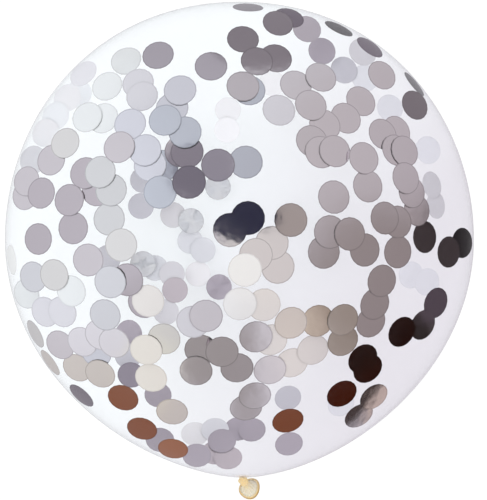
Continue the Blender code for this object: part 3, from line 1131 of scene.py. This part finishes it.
@dataclass
class Confetti:
    """The foil discs that cling to the inside of the skin by static."""

    surface: BVHTree
    viewpoint: Viewpoint
    lean: Lean = Lean()
    disc_width: float = 0.057
    disc_sides: int = 18
    film_depth: float = 0.0003
    dome_radius: float = 0.65
    curl_radius: float = 0.12
    crumple_depth: float = 0.003
    crumple_ridges: int = 3
    skin_gap: float = 0.0010
    layer_gap: float = 0.0007
    most_drop: float = 0.12
    most_settling: float = 0.05
    wobble_degrees: float = 0.6
    settling_steps: int = 8
    settling_share: float = 0.7
    reach_step: float = 0.01
    shade_range: tuple[float, float] = (0.96, 1.02)
    hidden_reach: float = 0.62
    hidden_share: float = 0.6
    seed: int = 7

    def __post_init__(self) -> None:
        """Starts the dice, the list of seated discs, and the disc of each bend that all are copies of."""
        self.dice = random.Random(self.seed)
        self.seated: list[SeatedDisc] = []
        self.finish = SilverFoil().material()
        self.patterns = {bend: self.make_pattern(bend) for bend in Bend}

    def bent(self, across: float, along: float, bend: Bend) -> float:
        """Gives how far a point of a disc's film stands out of the flat.

        Args:
            across: The point's distance across from the middle.
            along: Its distance along.
            bend: How the film is bent.

        Returns:
            The height, outwards.
        """
        if bend is Bend.CURLED:
            return -(across**2) / (2 * self.curl_radius)
        reach = math.hypot(across, along)
        dome = -(reach**2) / (2 * self.dome_radius)
        if bend is Bend.DOMED:
            return dome
        ridges = math.cos(self.crumple_ridges * math.atan2(along, across))
        return dome + self.crumple_depth * ridges * reach / (self.disc_width / 2)

    def make_pattern(self, bend: Bend) -> bpy.types.Mesh:
        """Models one disc of film, closed all round: a fan on each face and a rim between.

        Args:
            bend: How the film is bent.

        Returns:
            The mesh.
        """
        radius = self.disc_width / 2
        mesh = bmesh.new()
        bmesh.ops.create_circle(mesh, cap_ends=True, cap_tris=True, segments=self.disc_sides, radius=radius)
        for vert in mesh.verts:
            vert.co.z = self.bent(vert.co.x, vert.co.y, bend)
        bmesh.ops.solidify(mesh, geom=list(mesh.faces), thickness=self.film_depth)
        bmesh.ops.recalc_face_normals(mesh, faces=list(mesh.faces))
        data = bpy.data.meshes.new(f"{bend.value}_disc_pattern")
        mesh.to_mesh(data)
        mesh.free()
        return data

    def cast(self, place: Place, side: Side) -> tuple[Vector, Vector, Vector] | None:
        """Finds the point of the skin that the photograph shows at a pixel.

        Args:
            place: The pixel.
            side: The half of the skin, as the camera sees it.

        Returns:
            The point, the skin's outward direction there and the way into the balloon along the
            line of sight, or None where the line misses the skin.
        """
        ray = self.viewpoint.ray(place)
        point, normal, _, _ = self.surface.ray_cast(self.viewpoint.station, ray)
        if point is None:
            return None
        if side is Side.NEAR:
            return point, normal, ray
        point, normal, _, _ = self.surface.ray_cast(point + ray * self.skin_gap, ray)
        return (point, normal, -ray) if point is not None else None

    def below_skin(self, disc: SeatedDisc) -> float:
        """Measures how much deeper a disc has to lie to clear the skin.

        Args:
            disc: The disc, where it would lie.

        Returns:
            The missing depth, or a negative number where it lies clear.
        """
        missing = -self.disc_width
        for spot in disc.spots:
            found, outward, _, away = self.surface.find_nearest(spot)
            inside = away if (found - spot).dot(outward) > 0 else -away
            missing = max(missing, self.skin_gap - inside)
        return missing

    def below_disc(self, lower: SeatedDisc, upper: SeatedDisc) -> float:
        """Measures how much deeper one disc has to lie to clear one that lies over it.

        Args:
            lower: The disc underneath.
            upper: The disc nearer the skin.

        Returns:
            The missing depth, negative where it lies clear, and minus a disc's width where the two
            don't overlap.
        """
        missing = -self.disc_width
        if (lower.middle - upper.middle).length > self.disc_width:
            return missing
        for spots, disc, way in ((lower.spots, upper, 1.0), (upper.spots, lower, -1.0)):
            for spot in spots:
                reach = spot - disc.middle
                height = reach.dot(disc.outward)
                if reach.length_squared - height**2 < (self.disc_width / 2) ** 2:
                    missing = max(missing, self.layer_gap + way * height)
        return missing

    def seat(self, place: Place, drift: Drift) -> SeatedDisc:
        """Lays a disc inside the skin at a pixel of the photograph, under those laid before it.

        Args:
            place: The pixel. One too near the limb is brought in until the disc fits.
            drift: The drift that it belongs to.

        Returns:
            The seated disc.
        """
        centre = self.viewpoint.balloon_centre_px
        spin = Matrix.Rotation(self.dice.uniform(0, 2 * math.pi), 4, "Z")
        wobble = Matrix.Rotation(math.radians(self.dice.uniform(0, self.wobble_degrees)), 4, "X")
        reach = 1.0
        while True:
            spot = tuple(c + (p - c) * reach for p, c in zip(place, centre))
            reach -= self.reach_step
            hit = self.cast(spot, drift.side)
            if hit is None:
                continue
            point, normal, inward = hit
            facing = self.lean.limited(self.lean.facing(spot, drift.side), normal, drift.lean)
            turned = facing.to_track_quat("Z", "Y").to_matrix().to_4x4() @ spin @ wobble
            disc = SeatedDisc(self.patterns[drift.bend], turned, point, inward)
            while (disc.middle - point).length < self.most_drop:
                over = [self.below_disc(disc, other) for other in self.seated]
                missing = max(self.below_skin(disc), *over, -self.disc_width)
                if missing <= 0:
                    self.seated.append(disc)
                    return disc
                disc.sink(missing / disc.slope + self.film_depth)

    def settle(self) -> None:
        """Lets each disc that lies over others sink onto them, the lowest first."""
        for index in reversed(range(len(self.seated))):
            disc = self.seated[index]
            for _ in range(self.settling_steps):
                under = [-self.below_disc(other, disc) for other in self.seated[index + 1 :]]
                air = min([room for room in under if room < self.disc_width], default=0.0)
                if air <= self.film_depth:
                    break
                disc.sink(min(air, self.most_settling) / disc.slope * self.settling_share)

    def build_drift(self, drift: Drift, discs: list[SeatedDisc]) -> bpy.types.Object:
        """Makes one piece of all the discs of a drift.

        Args:
            drift: The drift.
            discs: Its seated discs.

        Returns:
            The piece.
        """
        mesh = bmesh.new()
        foil_and_reflection_tone_layer = mesh.verts.layers.float_color.new("foil_and_reflection_tone")
        frost_layer = mesh.verts.layers.float.new("frost")
        rim_layer = mesh.verts.layers.float.new("rim")
        # The tone is the foil's silver, or a painted reflection or painted haze, kept on each disc's
        # vertices.
        foil_and_reflection_tone, frost = drift.film.value
        for disc in discs:
            before = len(mesh.verts)
            mesh.from_mesh(disc.pattern)
            mesh.verts.ensure_lookup_table()
            verts = mesh.verts[before:]
            shade = self.dice.uniform(*self.shade_range)
            for vert in verts:
                vert[foil_and_reflection_tone_layer] = opaque(tuple(value * shade for value in foil_and_reflection_tone))
                vert[frost_layer] = frost
                vert[rim_layer] = vert.co.xy.length / (self.disc_width / 2)
            bmesh.ops.transform(mesh, matrix=disc.matrix, verts=verts)
        piece = piece_from(mesh, f"confetti_{drift.name}")
        piece.data.materials.append(self.finish)
        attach(piece, BODY)
        return piece

    def hidden_drift(self) -> Drift:
        """Gives discs on the far side, each behind a near one, so that the underside is as full.

        Returns:
            The drift.
        """
        centre = self.viewpoint.balloon_centre_px
        limit = self.hidden_reach * self.viewpoint.balloon_half_width_px
        places = [place for drift in NEAR_DRIFTS for place in drift.places_px]
        inner = [place for place in places if math.dist(place, centre) < limit]
        chosen = [place for place in inner if self.dice.random() < self.hidden_share]
        return Drift("far_behind", FoilToneAndPaintedReflection.SILVER, tuple(chosen), side=Side.FAR)

    def build(self) -> list[bpy.types.Object]:
        """Makes every drift, the near ones first.

        Returns:
            The pieces.
        """
        drifts = [*NEAR_DRIFTS, *FAR_DRIFTS, self.hidden_drift()]
        seated = [[self.seat(place, drift) for place in drift.places_px] for drift in drifts]
        self.settle()
        pieces = [self.build_drift(drift, discs) for drift, discs in zip(drifts, seated)]
        for pattern in self.patterns.values():
            bpy.data.meshes.remove(pattern)
        return pieces


@dataclass(frozen=True)
class Card:
    """A panel of the studio, placed where the discs near a pixel of the photograph mirror it."""

    name: str
    place_px: Place
    half_size_px: Place
    screen_colour: tuple[int, int, int]
    softness: float = 0.15
    turn: float = 0.0


@dataclass(frozen=True)
class Softbox:
    """The soft lamp whose glare shows left of the balloon's middle."""

    width: float = 1.5
    height: float = 1.9
    power: float = 22
    distance: float = 3.2
    direction: tuple[float, float, float] = (-0.32, 0.21, 0.92)

    def build(self, aim: Vector) -> bpy.types.Object:
        """Hangs the lamp, which foil and latex don't mirror.

        Args:
            aim: The point that it shines at.

        Returns:
            The lamp.
        """
        data = bpy.data.lights.new("softbox", "AREA")
        data.shape = "RECTANGLE"
        data.size = self.width
        data.size_y = self.height
        data.energy = self.power
        lamp = bpy.data.objects.new("softbox", data)
        away = Vector(self.direction).normalized()
        lamp.location = aim + away * self.distance
        lamp.visible_glossy = False
        lamp.rotation_mode = "QUATERNION"
        lamp.rotation_quaternion = away.to_track_quat("Z", "Y")
        bpy.context.scene.collection.objects.link(lamp)
        return lamp


@dataclass(frozen=True)
class Studio:
    """Pale floor, soft light from all round, and the panels that the foil mirrors."""

    room: Colour = from_display(191, 188, 191)
    cards: tuple[Card, ...] = (
        Card("pale_left", (60, 230), (120, 190), (214, 213, 217), 0.5),
        Card("grey_right", (385, 165), (140, 115), (180, 174, 175), 0.4),
        Card("grey_low_right", (385, 283), (92, 77), (142, 133, 130), 0.35),
        Card("dark_far_right", (478, 245), (56, 100), (52, 44, 44), 0.3),
        Card("grey_top", (264, 30), (66, 46), (120, 113, 118), 0.15),
        Card("grey_middle", (199, 168), (38, 32), (132, 127, 136), 0.15),
        Card("grey_low_middle", (216, 359), (42, 27), (146, 140, 138), 0.3),
        Card("shaded_low_middle", (246, 366), (14, 62), (150, 144, 143), 0.7),
        Card("pale_low_middle", (294, 356), (26, 50), (214, 210, 208), 0.8),
        Card("cream_low_left", (150, 370), (40, 40), (208, 204, 196), 0.3),
        Card("cream_middle", (258, 262), (45, 50), (204, 199, 194), 0.3),
        Card("taupe_middle", (291, 220), (22, 22), (170, 162, 155), 0.4),
        Card("brown_low_left", (135, 428), (85, 32), (148, 105, 90), 0.1, -35.0),
        Card("brown_low_middle", (288, 428), (40, 24), (136, 88, 66), 0.1),
        Card("dark_low_right", (378, 362), (80, 23), (30, 20, 16), 0.1, 45.0),
        Card("dark_right", (440, 300), (35, 26), (76, 66, 73), 0.2, 60.0),
        Card("dark_lowest_right", (360, 394), (48, 15), (48, 36, 34), 0.25, 58.0),
        Card("brown_low_right", (335, 398), (25, 22), (72, 34, 20), 0.1),
        Card("pale_low_right", (391, 422), (60, 24), (192, 176, 164), 0.12, 66.0),
        Card("dark_front", (250, 213), (39, 30), (22, 22, 48), 0.06),
    )
    mirrored_strength: float = 1.25
    fill_strength: float = 1.5
    floor_width: float = 40.0
    floor_drop: float = 0.0005

    def build_floor(self) -> bpy.types.Object:
        """Lays the pale floor, which foil and latex don't mirror.

        Returns:
            The floor.
        """
        mesh = bmesh.new()
        bmesh.ops.create_grid(mesh, x_segments=1, y_segments=1, size=self.floor_width / 2)
        bmesh.ops.translate(mesh, vec=(0, 0, -self.floor_drop), verts=list(mesh.verts))
        floor = piece_from(mesh, "floor")
        floor.data.materials.append(StudioPaper().material())
        floor.visible_glossy = False
        return floor

    def build_surroundings(self, viewpoint: Viewpoint, lean: Lean) -> None:
        """Sets the world: white to the camera, soft fill to the skin, and the panels to the foil.

        Args:
            viewpoint: The camera.
            lean: How the discs lean, which says what each place in the photograph mirrors.
        """
        world = bpy.data.worlds.new("studio")
        world.use_nodes = True
        world.node_tree.nodes.clear()
        bpy.context.scene.world = world
        board = NodeBoard(world.node_tree)
        towards = board.add("ShaderNodeTexCoord").outputs["Generated"]
        lifted = board.add("ShaderNodeVectorMath", {0: towards, 1: (0, 0, 1)}, operation="ADD")
        ball = board.add("ShaderNodeVectorMath", {0: lifted}, operation="NORMALIZE")
        flat = board.add("ShaderNodeVectorMath", {0: ball, 1: (1, 1, 0)}, operation="MULTIPLY")
        seen = self.room
        for card in self.cards:
            mirrored = viewpoint.ray(card.place_px).reflect(lean.facing(card.place_px, Side.NEAR))
            spot = (mirrored + Vector((0, 0, 1))).normalized()
            seen = self.add_card(board, flat, seen, card, spot, lean.slopes(card.place_px))
        rays = board.add("ShaderNodeLightPath")
        fill = (self.fill_strength / self.mirrored_strength,) * 3
        white = (1 / self.mirrored_strength,) * 3
        lit = board.mix(rays.outputs["Is Glossy Ray"], fill, seen)
        shown = board.mix(rays.outputs["Is Camera Ray"], lit, white)
        inputs = {"Strength": self.mirrored_strength, "Color": shown}
        board.add("ShaderNodeOutputWorld", {"Surface": board.add("ShaderNodeBackground", inputs)})

    def add_card(
        self,
        board: NodeBoard,
        ball: bpy.types.Node,
        seen: object,
        card: Card,
        spot: Vector,
        per_px: tuple[float, float],
    ) -> bpy.types.NodeSocket:
        """Paints one panel over what the mirror ball shows so far.

        Args:
            board: The world's nodes.
            ball: The node that gives the place on the mirror ball.
            seen: The colour so far, or its socket.
            card: The panel.
            spot: The panel's middle on the mirror ball.
            per_px: How much of the ball a pixel of the photograph stands for, across and up.

        Returns:
            The colour with the panel.
        """
        half_width, half_height = (size * share for size, share in zip(card.half_size_px, per_px))
        inputs = {
            "Vector": ball,
            "Location": (spot.x, spot.y, 0),
            "Rotation": (0, 0, math.radians(card.turn)),
            "Scale": (half_width, half_height, 1),
        }
        local = board.add("ShaderNodeMapping", inputs, vector_type="TEXTURE", label=card.name)
        length = board.add("ShaderNodeVectorMath", {0: local}, operation="LENGTH").outputs["Value"]
        inputs = {"From Min": 1 + card.softness, "From Max": 1 - card.softness, "Value": length}
        edge = board.add("ShaderNodeMapRange", inputs, interpolation_type="SMOOTHSTEP")
        return board.mix(edge.outputs["Result"], seen, from_display(*card.screen_colour))

    def build(self, viewpoint: Viewpoint, lean: Lean) -> None:
        """Sets up the whole studio round the balloon.

        Args:
            viewpoint: The camera.
            lean: How the discs lean.
        """
        self.build_floor()
        self.build_surroundings(viewpoint, lean)
        Softbox().build(Vector((0, 0, viewpoint.balloon_height)))
        bpy.context.scene.view_settings.view_transform = "Standard"


def main() -> None:
    """Builds the balloon, its confetti, the studio and the camera, in that order."""
    logging.basicConfig(level=logging.INFO, format="%(message)s")
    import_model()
    skin = LatexSkin.from_frame()
    skin_piece, surface = skin.build()
    viewpoint = Viewpoint(skin.body_width / 2, skin.axis_height)
    confetti = Confetti(surface, viewpoint)
    for piece in (skin_piece, *confetti.build()):
        LOG.info("%s: %d faces", piece.name, len(piece.data.polygons))
    Studio().build(viewpoint, confetti.lean)
    viewpoint.build()


if __name__ == "__main__":
    main()
